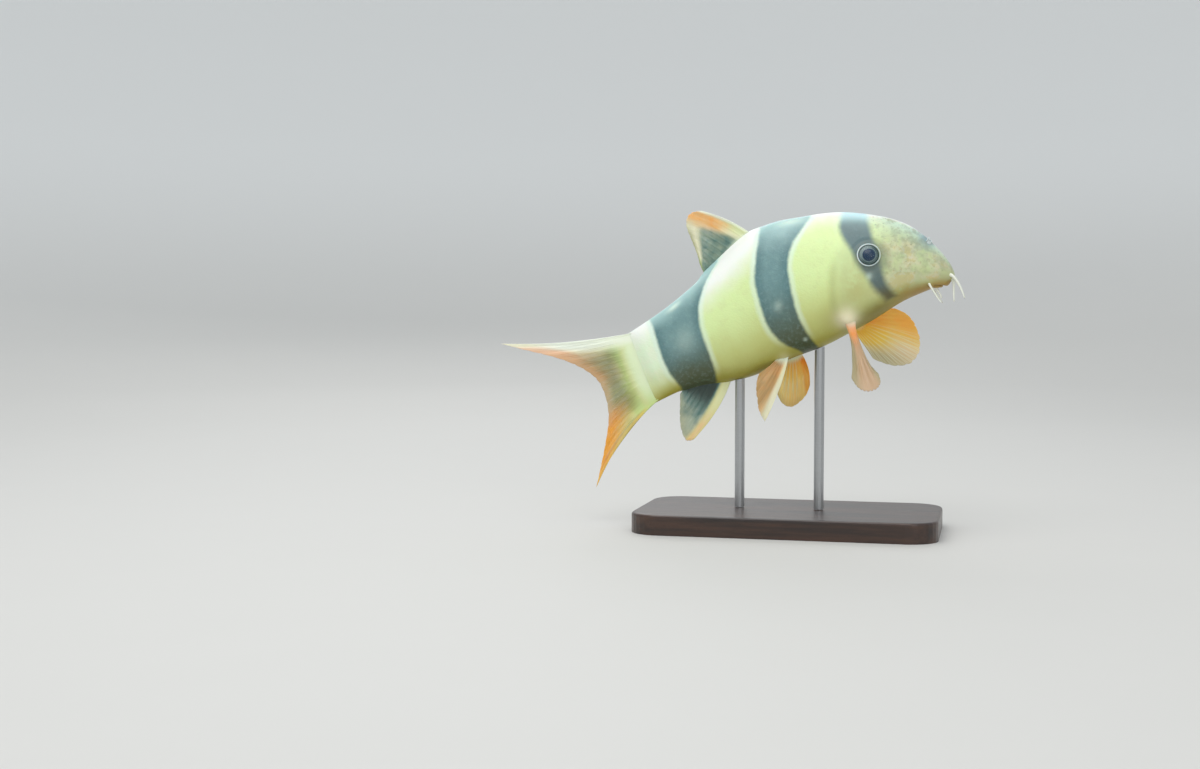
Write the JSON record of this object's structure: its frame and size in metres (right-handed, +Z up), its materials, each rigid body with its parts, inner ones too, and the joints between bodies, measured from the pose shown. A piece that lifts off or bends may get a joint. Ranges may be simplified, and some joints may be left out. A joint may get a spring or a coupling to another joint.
{
  "type": "clown loach",
  "caption": "Banded deep-bodied loach with forked tail, raised back fin and mouth feelers, in a level swimming turn, held above a flat rounded base by short rods.",
  "frame": {"origin": "centre of the underside of the stand's base", "axes": "+X the way the fish faces, +Z up, -Y the side the picture shows, which is the fish's right flank"},
  "size_m": [0.185, 0.064, 0.128],
  "materials": {
    "head_skin": "moist scaled skin, beige grey with fine dark specks and a dark band through the eye",
    "body_skin": "moist finely scaled skin, pale yellow green with blue grey bands, paler on the back and tail stem",
    "eye": "clear glossy eye, dark pupil, thin bright ring and blue grey iris",
    "fin": "thin rayed membrane, cream to orange, partly see-through",
    "barbel": "soft pale flesh",
    "stand_wood": "dark stained satin wood",
    "stand_steel": "satin steel rod"
  },
  "bodies": {
    "root": {"head": "head_skin", "torso": "body_skin", "tail_stem": "body_skin", "eye_right": "eye", "eye_left": "eye", "dorsal_fin": "fin", "anal_fin": "fin", "tail_fin_upper": "fin", "tail_fin_lower": "fin", "pelvic_fin_right": "fin", "pelvic_fin_left": "fin", "pectoral_fin_right": "fin", "pectoral_fin_left": "fin", "barbel_rostral_outer_right": "barbel", "barbel_rostral_outer_left": "barbel", "barbel_rostral_inner_right": "barbel", "barbel_rostral_inner_left": "barbel", "barbel_maxillary_right": "barbel", "barbel_maxillary_left": "barbel", "barbel_mandibular_right": "barbel", "barbel_mandibular_left": "barbel", "stand_base": "stand_wood", "stand_rod_front": "stand_steel", "stand_rod_rear": "stand_steel"}
  },
  "joints": []
}
